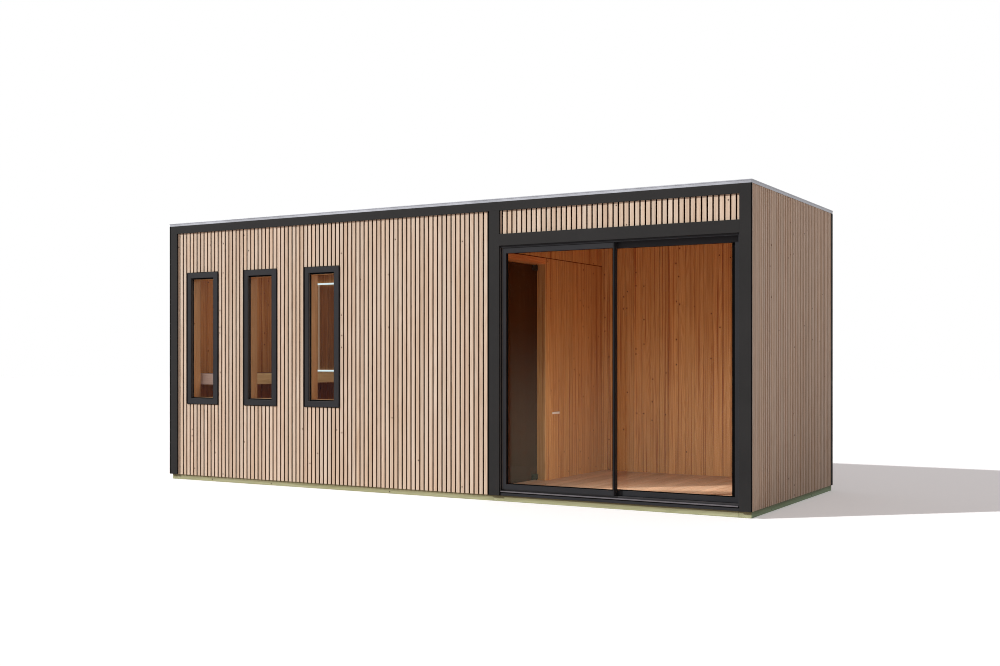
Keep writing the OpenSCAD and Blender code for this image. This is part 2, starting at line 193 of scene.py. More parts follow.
class Piece:
    """One object put together from many bars, each with random marks of its own.

    What is added to it is first turned by some degrees about Z. Its first material is the
    one that a bar has when none is named.
    """

    def __init__(self, name, seed, materials, turn=0):
        self.name = name
        self.materials = materials
        self.matrix = Matrix.Rotation(math.radians(turn), 4, "Z")
        self.points, self.faces, self.marks, self.looks = [], [], [], []
        self.draw = random.Random(seed)
        self.new_mark()

    def new_mark(self):
        """Three random numbers for the next board, which its material reads."""
        self.mark = [self.draw.random() for _ in range(3)]

    def prism(self, outline, axis, start, end, looks):
        """A bar along an axis, with one material for each side and then for each end.

        Its outline is in the next two axes, anticlockwise.
        """
        first, count = len(self.points), len(outline)
        for level in (start, end):
            for a, b in outline:
                point = Vector((0.0, 0.0, 0.0))
                point[axis], point[(axis + 1) % 3], point[(axis + 2) % 3] = level, a, b
                self.points.append(self.matrix @ point)
                self.marks.append(self.mark)
        ring = range(count)
        faces = [[i, (i + 1) % count, count + (i + 1) % count, count + i] for i in ring]
        faces += [list(reversed(ring)), [count + i for i in ring]]
        self.faces += [[first + i for i in face] for face in faces]
        self.looks += [self.materials.index(look) for look in looks]

    def bar(self, low, high, axis, chamfer=PLAIN_EDGE, look=None):
        """A board between two opposite corners, its four long edges chamfered."""
        low, high = zip(*(sorted(pair) for pair in zip(low, high)))
        a, b = (axis + 1) % 3, (axis + 2) % 3
        (a0, b0), (a1, b1) = (low[a], low[b]), (high[a], high[b])
        c = min(chamfer, (a1 - a0) / 3, (b1 - b0) / 3)
        outline = [
            (a0 + c, b0), (a1 - c, b0), (a1, b0 + c), (a1, b1 - c),
            (a1 - c, b1), (a0 + c, b1), (a0, b1 - c), (a0, b0 + c),
        ]
        looks = [look or self.materials[0]] * (len(outline) + 2)
        self.prism(outline, axis, low[axis], high[axis], looks)

    def slat(self, low, high, brown_depth):
        """An upright slat facing -Y. Its sides and back carry painted shade: brown, then dark past
        brown_depth.
        """
        (x0, face, z0), (x1, back, z1) = low, high
        c = SLAT_CHAMFER
        outline = [
            (x0 + c, face), (x1 - c, face), (x1, face + c), (x1, face + brown_depth),
            (x1, back), (x0, back), (x0, face + brown_depth), (x0, face + c),
        ]
        # Painted shade in the groove: the sides brown at first, then dark, like the back
        sides = [SLAT, SLAT, SLAT_SIDE_SHADE, GROOVE_SHADE_AND_BACKING, GROOVE_SHADE_AND_BACKING, GROOVE_SHADE_AND_BACKING, SLAT_SIDE_SHADE, SLAT]
        ends = [SLAT, SLAT]
        self.prism(outline, Z, z0, z1, sides + ends)

    def boards(self, low, high, run, across, width=BOARD_WIDTH, holes=()):
        """Fills a box with boards side by side. Holes are in X and Z, for upright boards."""
        count, pitch = even_steps(high[across] - low[across], width)
        for i in range(count):
            self.new_mark()
            near, far = Vector(low), Vector(high)
            near[across] = low[across] + i * pitch + BOARD_JOINT / 2
            far[across] = low[across] + (i + 1) * pitch - BOARD_JOINT / 2
            for x0, x1, z0, z1 in outside((near.x, far.x, near.z, far.z), holes):
                self.bar((x0, near.y, z0), (x1, far.y, z1), run, BOARD_CHAMFER)

    def place(self, body, slot, *replaced):
        """Makes the object, lets it ride on its body and stand for the CAD nodes named."""
        mesh = bpy.data.meshes.new(self.name)
        mesh.from_pydata(self.points, [], self.faces)
        marks = mesh.attributes.new("board", "FLOAT_VECTOR", "POINT")
        marks.data.foreach_set("vector", [value for mark in self.marks for value in mark])
        for material in self.materials:
            mesh.materials.append(material)
        mesh.polygons.foreach_set("material_index", self.looks)
        made = show(self.name, mesh)
        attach(made, body)
        if replaced:
            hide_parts(*replaced)


class Nodes:
    """Short ways to add shader nodes to a material or to the world."""

    def __init__(self, tree):
        self.tree = tree

    def put(self, socket, value):
        """Links another node's output to a socket, or sets the socket's own value."""
        if isinstance(value, bpy.types.NodeSocket):
            self.tree.links.new(value, socket)
        else:
            socket.default_value = value

    def node(self, kind, inputs, **settings):
        """Adds a node and gives its outputs."""
        made = self.tree.nodes.new("ShaderNode" + kind)
        for key, value in settings.items():
            setattr(made, key, value)
        for socket, value in inputs.items():
            self.put(made.inputs[socket], value)
        return made.outputs

    def math(self, operation, *values):
        """The result of a sum, such as ADD or SINE."""
        return self.node("Math", dict(enumerate(values)), operation=operation)[0]

    def split(self, vector):
        """The three numbers of a vector or colour."""
        return self.node("SeparateXYZ", {0: vector})

    def join(self, *values):
        """The vector or colour of three numbers."""
        return self.node("CombineXYZ", dict(enumerate(values)))[0]

    def place(self):
        """The place in the model's own frame."""
        return self.node("TexCoord", {})["Object"]

    def marks(self):
        """The three random numbers of the board."""
        return self.split(self.node("Attribute", {}, attribute_name="board")["Vector"])

    def noise(self, vector, detail, scale=1.0):
        """Soft random patches. Most of their values lie within NOISE_SPAN."""
        inputs = {"Vector": vector, "Scale": scale, "Detail": detail}
        inputs["Roughness"] = NOISE_ROUGHNESS
        return self.node("TexNoise", inputs)["Fac"]

    def spread(self, value, low, high, to_low=0.0, to_high=1.0, kind="LINEAR"):
        """Maps low to high onto another span, and holds its ends beyond them."""
        inputs = {"Value": value, "From Min": low, "From Max": high}
        inputs.update({"To Min": to_low, "To Max": to_high})
        return self.node("MapRange", inputs, interpolation_type=kind)["Result"]

    def mix(self, share, first, second, blend="MIX"):
        """Two colours mixed by a share. The numbers are Blender's for this node's sockets."""
        inputs = {0: share, 6: first, 7: second}
        return self.node("Mix", inputs, data_type="RGBA", blend_type=blend)[2]

    def light(self, colour, factor):
        """The colour made lighter or darker by a factor."""
        return self.mix(1.0, colour, self.join(factor, factor, factor), "MULTIPLY")

    def seen(self):
        """1 for the rays that show the backdrop itself, in the camera or in metal and glass."""
        rays = self.node("LightPath", {})
        mirrored = self.math("MAXIMUM", rays["Is Glossy Ray"], rays["Is Transmission Ray"])
        return self.math("MAXIMUM", rays["Is Camera Ray"], mirrored)


class Shade(Nodes):
    """A procedural material. Its surface's sockets are set by name, with _ for a space."""

    def __init__(self, name, **surface):
        self.material = bpy.data.materials.new(name)
        self.material.use_nodes = True
        super().__init__(self.material.node_tree)
        self.surface = self.tree.nodes["Principled BSDF"]
        self.set(**surface)

    def set(self, **surface):
        for socket, value in surface.items():
            self.put(self.surface.inputs[socket.replace("_", " ")], value)

    def bump(self, height, distance, strength):
        inputs = {"Height": height, "Distance": distance, "Strength": strength}
        self.set(Normal=self.node("Bump", inputs)["Normal"])


# --- Materials ---


# How rough every noise is, and the values that most of it lies between
NOISE_ROUGHNESS = 0.55
NOISE_SPAN = (0.3, 0.7)

# How fast the marks in wood change in a metre, across a board and along it
RING_PACE = (14, 0.5)
GRAIN_PACE = (240, 3.5)
CLOUD_PACE = (10, 0.9)
STREAK_PACE = (95, 0.5)
KNOT_PACE = 11.0

# Which values of each mark go from none of it to all of it
RING_SPAN = (-0.2, 1.0)
GRAIN_SPAN = (0.3, 0.75)
CLOUD_SPAN = (0.35, 0.7)
STREAK_SPAN = (0.55, 0.62)
HALO_SPAN = (0.22, 0.03)
HEART_SPAN = (0.085, 0.05)

# How strong each mark is
RING_SHARE = 0.34
GRAIN_SHARE = 0.5
CLOUD_SHARE = 0.75
HALO_SHARE = 0.45
HEART_SHARE = 0.9

# How close rings lie, how far a knot bends them, and how far the marks shift by board
RING_RATE = 95.0
KNOT_BEND = 0.12
SHIFT_ACROSS = 9.0
SHIFT_ALONG = 23.0

# The middle tone of the boards, their roughness, and the relief of their grain and rings
TONE = 0.97
WOOD_ROUGH = (0.52, 0.7)
WOOD_RELIEF = 0.6 * MM
RING_RELIEF = 0.5

# The heart of a knot, and the painted shade that darkens the top of the base under the cladding,
# with the heights it comes in between
KNOT_HEART = rgb(52, 26, 14)
TOP_SHADE = rgb(140, 112, 70)
TOP_SHADE_SPAN = (14 * MM, 50 * MM)

# Coats of paint, metal or rubber: their clouds, and the relief of their grain
COAT_CLOUDS = 3.0
COAT_TONE = (0.88, 1.12)
COAT_RELIEF = 0.3 * MM

# The heights between which a pane's tint goes over to that of its foot: a painted reflection of
# the bright ground
REFLECTION_SPAN = (1.6, 0.4)


def wood(name, pale, deep, tint, axis=Z, knots=0.1, lines=0.0, drift=0.11, top_shade=0.0, side=None):
    """Planed softwood: growth rings, fine grain, knots and a tone that changes by board.

    The grain runs along the axis. Of places for a knot, knots is the share that has one.
    lines, drift and top_shade are the strengths of dark streaks, of the change of tone and of
    the painted shade that darkens the base towards its top. side is a painted shade tint, greener,
    for faces towards the cabin's ends.
    """
    shade = Shade(name, Specular_IOR_Level=0.3)
    places = shade.split(shade.place())
    one, two, three = shade.marks()
    flat = [places[i] for i in (X, Y, Z) if i != axis]
    shift = shade.math("MULTIPLY", one, SHIFT_ACROSS)
    across = shade.math("ADD", shade.math("ADD", *flat), shift)
    shift = shade.math("MULTIPLY", two, SHIFT_ALONG)
    along = shade.math("ADD", places[axis], shift)

    def marks(pace, detail):
        wide = shade.math("MULTIPLY", across, pace[0])
        long = shade.math("MULTIPLY", along, pace[1])
        return shade.noise(shade.join(wide, long, three), detail)

    inputs = {"Vector": shade.join(across, along, 0.0), "Scale": KNOT_PACE}
    cell = shade.node("TexVoronoi", inputs, voronoi_dimensions="2D")
    present = shade.math("LESS_THAN", shade.split(cell["Color"])[0], knots)
    halo = shade.spread(cell["Distance"], *HALO_SPAN, kind="SMOOTHSTEP")
    halo = shade.math("MULTIPLY", halo, present)
    heart = shade.math("MULTIPLY", shade.spread(cell["Distance"], *HEART_SPAN), present)

    field = shade.math("ADD", marks(RING_PACE, 1.0), shade.math("MULTIPLY", halo, KNOT_BEND))
    rings = shade.math("SINE", shade.math("MULTIPLY", field, RING_RATE))
    rings = shade.spread(rings, *RING_SPAN)
    grain = marks(GRAIN_PACE, 3.0)

    grain_share = shade.spread(grain, *GRAIN_SPAN, 0.0, GRAIN_SHARE)
    ring_share = shade.spread(rings, 0.0, 1.0, 0.0, RING_SHARE)
    colour = shade.mix(shade.math("ADD", grain_share, ring_share), pale, deep)
    clouds = shade.spread(marks(CLOUD_PACE, 2.0), *CLOUD_SPAN, 0.0, CLOUD_SHARE)
    colour = shade.mix(clouds, colour, tint, "MULTIPLY")
    colour = shade.light(colour, shade.spread(three, 0.0, 1.0, TONE - drift, TONE + drift))
    if lines:
        streaks = shade.spread(marks(STREAK_PACE, 2.0), *STREAK_SPAN, 0.0, lines)
        colour = shade.mix(streaks, colour, deep, "MULTIPLY")
    colour = shade.mix(shade.math("MULTIPLY", halo, HALO_SHARE), colour, deep)
    colour = shade.mix(shade.math("MULTIPLY", heart, HEART_SHARE), colour, KNOT_HEART)
    # Painted shade: darker towards the top of the base, which the cladding above shades
    if top_shade:
        top_shade_share = shade.spread(places[Z], *TOP_SHADE_SPAN, 0.0, top_shade)
        colour = shade.mix(top_shade_share, colour, TOP_SHADE, "MULTIPLY")
    # Painted shade: a greener, darker tint on faces towards the cabin's ends
    if side:
        end_face_shade_share = shade.split(shade.node("TexCoord", {})["Normal"])[X]
        end_face_shade_share = shade.spread(shade.math("ABSOLUTE", end_face_shade_share), 0.3, 0.7)
        colour = shade.mix(end_face_shade_share, colour, side, "MULTIPLY")
    shade.set(Base_Color=colour, Roughness=shade.spread(grain, 0.2, 0.8, *WOOD_ROUGH))
    relief = shade.math("ADD", grain, shade.math("MULTIPLY", rings, RING_RELIEF))
    shade.bump(relief, WOOD_RELIEF, strength=0.5)
    return shade.material


def coated(name, colour, rough, grain, metallic=0.0, specular=0.3):
    """Paint, plain metal or rubber: a faint cloudiness, and fine grain in relief."""
    shade = Shade(name, Metallic=metallic, Specular_IOR_Level=specular)
    place = shade.place()
    clouds = shade.noise(place, 4.0, COAT_CLOUDS)
    shade.set(Base_Color=shade.light(colour, shade.spread(clouds, *NOISE_SPAN, *COAT_TONE)))
    shade.set(Roughness=shade.spread(clouds, *NOISE_SPAN, rough - 0.05, rough + 0.06))
    shade.bump(shade.noise(place, 2.0, grain), COAT_RELIEF, strength=0.4)
    return shade.material


def pane(name, alpha, colour, foot_reflection=None, rough=0.02):
    """Coated glass that reflects little, with a tint as strong as alpha.

    Where foot_reflection has a colour, the tint goes over to that one over the heights of
    REFLECTION_SPAN: a painted reflection of the ground, stronger towards the foot.
    """
    shade = Shade(name, Roughness=rough, Alpha=alpha, Specular_IOR_Level=0.12)
    if foot_reflection:
        # Painted reflection: the tint goes over to the foot's colour low down
        height = shade.split(shade.place())[Z]
        low = shade.spread(height, *REFLECTION_SPAN, kind="SMOOTHSTEP")
        colour = shade.mix(low, colour, foot_reflection)
    shade.set(Base_Color=colour)
    return shade.material


def glow(name, colour, strength):
    """A surface that shines: a light diffuser, or a strip of painted light."""
    shade = Shade(name, Base_Color=rgb(90, 92, 94), Roughness=0.4, Specular_IOR_Level=0.1)
    shade.set(Emission_Color=colour, Emission_Strength=strength)
    return shade.material


def roof_sheet(name):
    """Grey roofing felt with mineral grains."""
    shade = Shade(name, Roughness=0.9, Specular_IOR_Level=0.2)
    place = shade.place()
    grains = shade.noise(place, 2.0, scale=420.0)
    clouds = shade.noise(place, 4.0, scale=1.2)
    grain_share = shade.spread(grains, 0.35, 0.65, 0.0, 0.6)
    cloud_share = shade.spread(clouds, *NOISE_SPAN, 0.0, 0.3)
    share = shade.math("ADD", grain_share, cloud_share)
    shade.set(Base_Color=shade.mix(share, rgb(66, 67, 70), rgb(104, 105, 108)))
    shade.bump(grains, 1.0 * MM, strength=0.5)
    return shade.material


# Each wood has its pale and its deep colour, and a tint for its broad clouds
SLAT = wood(
    "slat_larch", rgb(217, 202, 183), rgb(192, 170, 147), rgb(242, 228, 214),
    knots=0.07, lines=0.1, drift=0.08,
)
# Painted shade: the darker brown of the slats' sides inside their grooves
SLAT_SIDE_SHADE = wood(
    "slat_larch_side_painted_shade", rgb(196, 152, 112), rgb(158, 116, 82), rgb(240, 226, 212), knots=0.0,
)
BOARD = wood(
    "lining_spruce", rgb(216, 162, 99), rgb(180, 117, 61), rgb(246, 232, 214),
    knots=0.14, lines=0.7, drift=0.06,
)
HEAD_BOARD = wood(
    "lining_head", rgb(220, 150, 88), rgb(184, 108, 58), rgb(238, 212, 190),
    axis=Y, knots=0.05,
)
CEILING = wood(
    "ceiling_spruce", rgb(236, 182, 118), rgb(200, 136, 75), rgb(244, 224, 206), axis=X,
)
FLOOR = wood(
    "floor_spruce", rgb(220, 186, 155), rgb(192, 149, 114), rgb(240, 224, 212),
    axis=Y, knots=0.06,
)
REVEAL = wood(
    "window_reveal", rgb(218, 178, 128), rgb(190, 148, 102), rgb(240, 222, 204), knots=0.02,
)
PANEL = wood(
    "light_panel_wood", rgb(190, 142, 88), rgb(144, 98, 60), rgb(236, 220, 200), knots=0.02,
)
# Painted light and shade on the bench's aspen: its two fascia sides tinted by their light, its
# planks and supports dark as in shade
BENCH = wood(
    "bench_aspen", rgb(240, 220, 166), rgb(210, 186, 134), rgb(240, 226, 210),
    axis=Y, knots=0.02,
)
BENCH_END_LIT = wood(
    "bench_aspen_end_painted_light", rgb(238, 228, 222), rgb(216, 204, 196), rgb(240, 226, 216),
    axis=X, knots=0.02,
)
BENCH_TOP_SHADE = wood(
    "bench_top", rgb(120, 82, 52), rgb(96, 62, 38), rgb(240, 222, 208), axis=Y, knots=0.02,
)
TREATED = wood(
    "treated_pine", rgb(192, 196, 158), rgb(154, 155, 118), rgb(226, 224, 206),
    axis=X, knots=0.08, top_shade=0.8,
)
# The same treated pine, with painted shade on faces towards the cabin's ends
TREATED_CROSS = wood(
    "treated_pine_cross", rgb(192, 196, 158), rgb(154, 155, 118), rgb(226, 224, 206),
    axis=Y, top_shade=0.8, side=rgb(219, 255, 255),
)
HANDLE = wood(
    "handle_ash", rgb(196, 152, 106), rgb(160, 114, 74), rgb(240, 222, 208), knots=0.0,
)

TRIM = coated("trim_charcoal", rgb(43, 43, 43), rough=0.6, grain=500.0, specular=0.08)
FRAME = coated("frame_anthracite", rgb(41, 42, 45), rough=0.5, grain=1200.0, specular=0.12)
# The dark backing behind the slats, also used as painted shade deep in the slats' grooves
GROOVE_SHADE_AND_BACKING = coated("backing_and_painted_groove_shade", rgb(46, 20, 4), rough=0.95, grain=300.0, specular=0.0)
FLASHING = coated("roof_edge_metal", rgb(150, 151, 157), rough=0.38, grain=900.0, metallic=0.9)
RAIL = coated("rail_aluminium", rgb(104, 101, 105), rough=0.4, grain=1500.0, metallic=0.5)
TRACK = coated("track_dark", rgb(60, 58, 60), rough=0.4, grain=1500.0, metallic=0.5)
FITTING = coated("fitting_metal", rgb(46, 38, 30), rough=0.4, grain=1500.0, specular=0.1)
# Black rubber for the gaskets, and for lines of painted shade
RUBBER_AND_SHADE_LINE = coated("gasket_rubber_and_painted_shade", rgb(14, 14, 14), rough=0.8, grain=800.0, specular=0.0)
VENT = coated("vent_plastic", rgb(236, 226, 212), rough=0.45, grain=700.0)
ROOF = roof_sheet("roof_felt")
WALL = coated("wall_panel_core", rgb(150, 116, 84), rough=0.8, grain=60.0)
# Clear glass, with a painted reflection of the ground towards its foot
CLEAR = pane("clear_glass", 0.04, rgb(16, 8, 5), foot_reflection=rgb(142, 166, 148))
WINDOW = pane("window_glass", 0.02, rgb(104, 116, 130))
TINTED = pane("tinted_glass", 0.82, rgb(58, 22, 2), foot_reflection=rgb(62, 20, 1), rough=0.03)
# Painted shade at the back of the partition's gap above the door
PAINTED_GAP_SHADE = coated("shadow_gap", rgb(92, 48, 24), rough=0.9, grain=300.0, specular=0.0)
# Pale grey beads and strips: partly a spacer's grey, partly a painted highlight on edges in shade
BEAD_AND_HIGHLIGHT = coated("glazing_bead_and_painted_highlight", rgb(92, 88, 84), rough=0.5, grain=1200.0, specular=0.12)
LED = glow("light_strip", rgb(224, 244, 247), strength=0.95)
# A glowing strip of painted light, where the lamps' light catches an edge
PAINTED_LIGHT_STRIP = glow("painted_light_strip", rgb(166, 143, 118), strength=0.8)


# --- Dressing the CAD nodes that stay ---


def dress(node, material, bevel):
    """Gives a CAD node its material, and softens its edges by modifiers."""
    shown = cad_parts[node]
    for holder in shown.material_slots:
        holder.material = material
    if bevel:
        weld = shown.modifiers.new("weld", "WELD")
        weld.merge_threshold = 0.02 * MM
        flat = shown.modifiers.new("flat", "DECIMATE")
        flat.decimate_type = "DISSOLVE"
        flat.angle_limit = math.radians(2)
        soft = shown.modifiers.new("soft", "BEVEL")
        soft.width = bevel
        soft.segments = 2
        soft.limit_method = "ANGLE"
        soft.angle_limit = math.radians(30)


def dress_all():
    """Every node that shows: its material, the width of its bevel, and the nodes' names."""
    posts = ["front_corner_posts", "centre_post", "rear_corner_posts", "front_beams"]
    frames = ["window_frame_left", "window_frame_middle", "window_frame_right"]
    frames += ["door_frame_head", "door_frame_jambs", "door_sill"]
    frames += ["left_leaf_frame", "right_leaf_frame"]
    walls = ["front_wall", "front_wall_over_door", "rear_wall", "left_wall", "right_wall"]
    looks = [
        (TRIM, 1.2 * MM, posts),
        (FRAME, 1.2 * MM, frames),
        (FLASHING, 1.0 * MM, ["roof_flashing"]),
        (FITTING, 0.8 * MM, ["sauna_door_pivots"]),
        (HANDLE, 0.0, ["sauna_door_handle"]),
        (VENT, 1.5 * MM, ["partition_vent"]),
        (CLEAR, 0.0, ["left_leaf_glass", "right_leaf_glass"]),
        (WINDOW, 0.0, ["window_panes"]),
        (TINTED, 0.8 * MM, ["sauna_door_glass"]),
        (LED, 1.0 * MM, ["light_strips"]),
        (TREATED, 2.0 * MM, ["base_beams_long"]),
        (TREATED_CROSS, 2.0 * MM, ["base_beams_cross"]),
        (ROOF, 3.0 * MM, ["roof"]),
        (WALL, 0.0, walls),
        (BENCH_TOP_SHADE, 1.5 * MM, ["bench_supports"]),
    ]
    for material, bevel, nodes in looks:
        for node in nodes:
            dress(node, material, bevel)


# --- Slatted cladding ---


def window_boxes():
    """The hole for each window in the slats, as (x0, x1, z0, z1), with a gap on three sides."""
    found = []
    for side in WINDOWS:
        low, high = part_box("window_frame_" + side)
        found.append((low.x, high.x + WINDOW_GAP, low.z - WINDOW_GAP, high.z + WINDOW_GAP))
    return found


def slatted(name, node, turn, seed, brown_depth=BROWN_DEPTH, holes=()):
    """Slats and their dark backing on one wall, worked out in the wall's own frame.

    There X runs along the wall and the outside is towards -Y. The turn brings them in place.
    """
    piece = Piece(name, seed, [SLAT, GROOVE_SHADE_AND_BACKING, SLAT_SIDE_SHADE], turn)
    low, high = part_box(node)
    corners = [piece.matrix.inverted() @ corner for corner in (low, high)]
    x0, x1 = sorted(corner.x for corner in corners)
    face = min(corner.y for corner in corners)
    back = face + SLAT_DEPTH
    for i in range(math.floor(x0 / SLAT_PITCH), math.ceil(x1 / SLAT_PITCH)):
        piece.new_mark()
        start = max(x0, i * SLAT_PITCH + SLAT_GAP / 2)
        end = min(x1, (i + 1) * SLAT_PITCH - SLAT_GAP / 2)
        for a, b, z0, z1 in outside((start, end, low.z, high.z), holes):
            piece.slat((a, face, z0), (b, back, z1), brown_depth)
    for a, b, z0, z1 in outside((x0, x1, low.z, high.z), holes):
        piece.bar((a, back, z0), (b, back + BACKING, z1), Z, HIDDEN_EDGE, GROOVE_SHADE_AND_BACKING)
    piece.place("cabin", "slat_wood", node)


def cladding():
    slatted("slats_front", "front_cladding", turn=0, seed=11, holes=window_boxes())
    slatted("slats_over_door", "door_head_cladding", turn=0, seed=12)
    slatted("slats_right", "right_cladding", turn=90, seed=13, brown_depth=END_BROWN_DEPTH)
    slatted("slats_left", "left_cladding", turn=-90, seed=14, brown_depth=END_BROWN_DEPTH)
    slatted("slats_rear", "rear_cladding", turn=180, seed=15)


# --- Linings, floor and ceiling ---


def lined(name, node, material, run, across, seed, slot="lining_board"):
    """Boards that fill a CAD node's box and stand for it."""
    piece = Piece(name, seed, [material])
    low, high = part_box(node)
    piece.boards(low, high, run, across)
    piece.place("cabin", slot, node)


def linings():
    """Boards of the back wall, ceiling, floor, both ends and the front."""
    lined("rear_boards", "rear_lining", BOARD, Z, X, seed=21)
    lined("ceiling_boards", "ceiling", CEILING, X, Y, seed=22)
    lined("floor_boards", "floor", FLOOR, Y, X, seed=23, slot="floor_board")
    low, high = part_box("end_linings")
    ends = Piece("end_boards", 24, [BOARD])
    ends.boards(low, (low.x + LINING, high.y, high.z), Z, Y)
    ends.boards((high.x - LINING, low.y, low.z), high, Z, Y)
    ends.place("cabin", "lining_board", "end_linings")

    low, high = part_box("front_lining")
    low.y = high.y - LINING
    post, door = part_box("centre_post")[1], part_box("front_wall_over_door")[0]
    clear = [frame_outline(side, FRAME_FACE) for side in WINDOWS]
    front = Piece("front_boards", 25, [BOARD])
    front.boards(low, (post.x, high.y, high.z), Z, X, holes=clear)
    front.boards((post.x, low.y, door.z), high, Z, X)
    front.place("cabin", "lining_board", "front_lining")


# --- Windows ---


def frame_outline(side, inset=0.0):
    """A window frame's outline, set in by inset, as (x0, x1, z0, z1)."""
    low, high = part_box("window_frame_" + side)
    return (low.x + inset, high.x - inset, low.z + inset, high.z - inset)


def window_reveals():
    """Boards round each window, from its sash through the wall to the room."""
    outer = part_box("window_frame_left")[0].y + SASH_BACK
    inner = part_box("front_lining")[1].y
    for number, side in enumerate(WINDOWS):
        piece = Piece("window_reveal_" + side, 30 + number, [REVEAL])
        x0, x1, z0, z1 = frame_outline(side, FRAME_FACE)
        for a, b in ((x0, x0 + SASH), (x1 - SASH, x1)):
            piece.new_mark()
            piece.bar((a, outer, z0), (b, inner, z1), Z, REVEAL_EDGE)
        for a, b in ((z0, z0 + SASH), (z1 - SASH, z1)):
            piece.new_mark()
            piece.bar((x0 + SASH, outer, a), (x1 - SASH, inner, b), X, REVEAL_EDGE)
        piece.place("cabin", "lining_board")


def window_seals_and_painted_light():
    """A black line of painted shade on the left of each frame, its inner lips, and the beads
    before the pane.
    """
    for number, side in enumerate(WINDOWS):
        piece = Piece("window_seals_and_painted_light_" + side, 35 + number, [RUBBER_AND_SHADE_LINE, FRAME, BEAD_AND_HIGHLIGHT])
        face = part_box("window_frame_" + side)[0].y
        x0, x1, z0, z1 = frame_outline(side)
        # Painted shade: a black line on the left edge of the frame
        near = (x0 + SHADE_LINE_START, face - SHADE_LINE_PROUD, z0)
        piece.bar(near, (x0 + SHADE_LINE_END, face + SHADE_LINE_SUNK, z1), Z, FINE_EDGE)
        x0, x1, z0, z1 = frame_outline(side, FRAME_FACE)
        lip, bead, back = face + LIP_DEPTH, face + BEAD_DEPTH, face + PANE_STEP
        left = (x0 - LIP_TUCK, x0 + LEFT_LIP, x0 + LEFT_BEAD)
        right = (x1 + LIP_TUCK, x1 - RIGHT_LIP, x1 - RIGHT_BEAD)
        for root, lip_end, bead_end in (left, right):
            piece.bar((root, face, z0), (lip_end, lip, z1), Z, BEAD_EDGE, FRAME)
            # The pale bead, partly a painted highlight
            piece.bar((root, lip, z0), (bead_end, bead, z1), Z, BEAD_EDGE, BEAD_AND_HIGHLIGHT)
            piece.bar((root, bead, z0), (bead_end, back, z1), Z, FINE_EDGE)
        for a, b in ((z0, z0 + SASH), (z1 - SASH, z1)):
            near = (left[2], face + SASH_STEP, a)
            piece.bar(near, (right[2], back, b), X, BEAD_EDGE, FRAME)
        piece.place("cabin", "dark_frame")


# --- Partition between the rooms ---


def partition():
    """The wall between the rooms: boards on both faces, an end board and a door head."""
    low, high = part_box("partition_wall")
    head_low, head_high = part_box("partition_header")
    gap_low, gap_high = GAP_MIDDLE - GAP_HEIGHT / 2, GAP_MIDDLE + GAP_HEIGHT / 2
    left, right = low.x, high.x
    behind = right - LINING
    end = low.y + END_BOARD
    wall = Piece("partition_boards", 41, [BOARD, PAINTED_GAP_SHADE])
    wall.boards((behind, low.y, low.z), (right, high.y, gap_low), Z, Y)
    wall.boards((behind, low.y, gap_high), high, Z, Y)
    wall.boards(low, (left + LINING, high.y, high.z), Z, Y)
    wall.new_mark()
    wall.bar((left + LINING, low.y, low.z), (behind, end, high.z), Z)
    wall.bar((left + LINING, end, low.z), (behind - LINING, high.y, high.z), Z)
    # Painted shade at the back of the gap
    far = (right - GAP_DEPTH, high.y, gap_high)
    wall.bar((behind, low.y, gap_low), far, Y, HIDDEN_EDGE, PAINTED_GAP_SHADE)
    wall.place("cabin", "lining_board", "partition_wall")

    head = Piece("partition_head_boards", 42, [BOARD, HEAD_BOARD, PAINTED_GAP_SHADE])
    head.boards((behind, head_low.y, gap_high), head_high, Z, Y)
    head.new_mark()
    head.bar(head_low, (right, head_high.y, gap_low), Y, HEAD_EDGE, HEAD_BOARD)
    far = (behind, head_high.y, head_high.z)
    head.bar((left, head_low.y, gap_low), far, Y, PLAIN_EDGE, HEAD_BOARD)
    # Painted shade at the back of the gap
    far = (right - GAP_DEPTH, head_high.y, gap_high)
    head.bar((behind, head_low.y, gap_low), far, Y, HIDDEN_EDGE, PAINTED_GAP_SHADE)
    head.place("cabin", "lining_board", "partition_header")


# --- Tracks, seals, and thin lines of painted light and shade at the door and the posts ---


def tracks():
    """The bright nosing of the sill, and the dark rail that each leaf runs on."""
    low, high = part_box("door_rails")
    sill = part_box("door_sill")[1].z
    piece = Piece("door_tracks", 63, [RAIL, TRACK])
    piece.bar(low, (high.x, low.y + NOSING, sill), X, BEAD_EDGE)
    for side in ("left", "right"):
        near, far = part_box(side + "_leaf_frame")
        y = (near.y + far.y) / 2
        start = (low.x, y - RAIL_WIDTH / 2, sill)
        piece.bar(start, (high.x, y + RAIL_WIDTH / 2, high.z), X, BEAD_EDGE, TRACK)
    piece.place("cabin", "rail_metal", "door_rails")


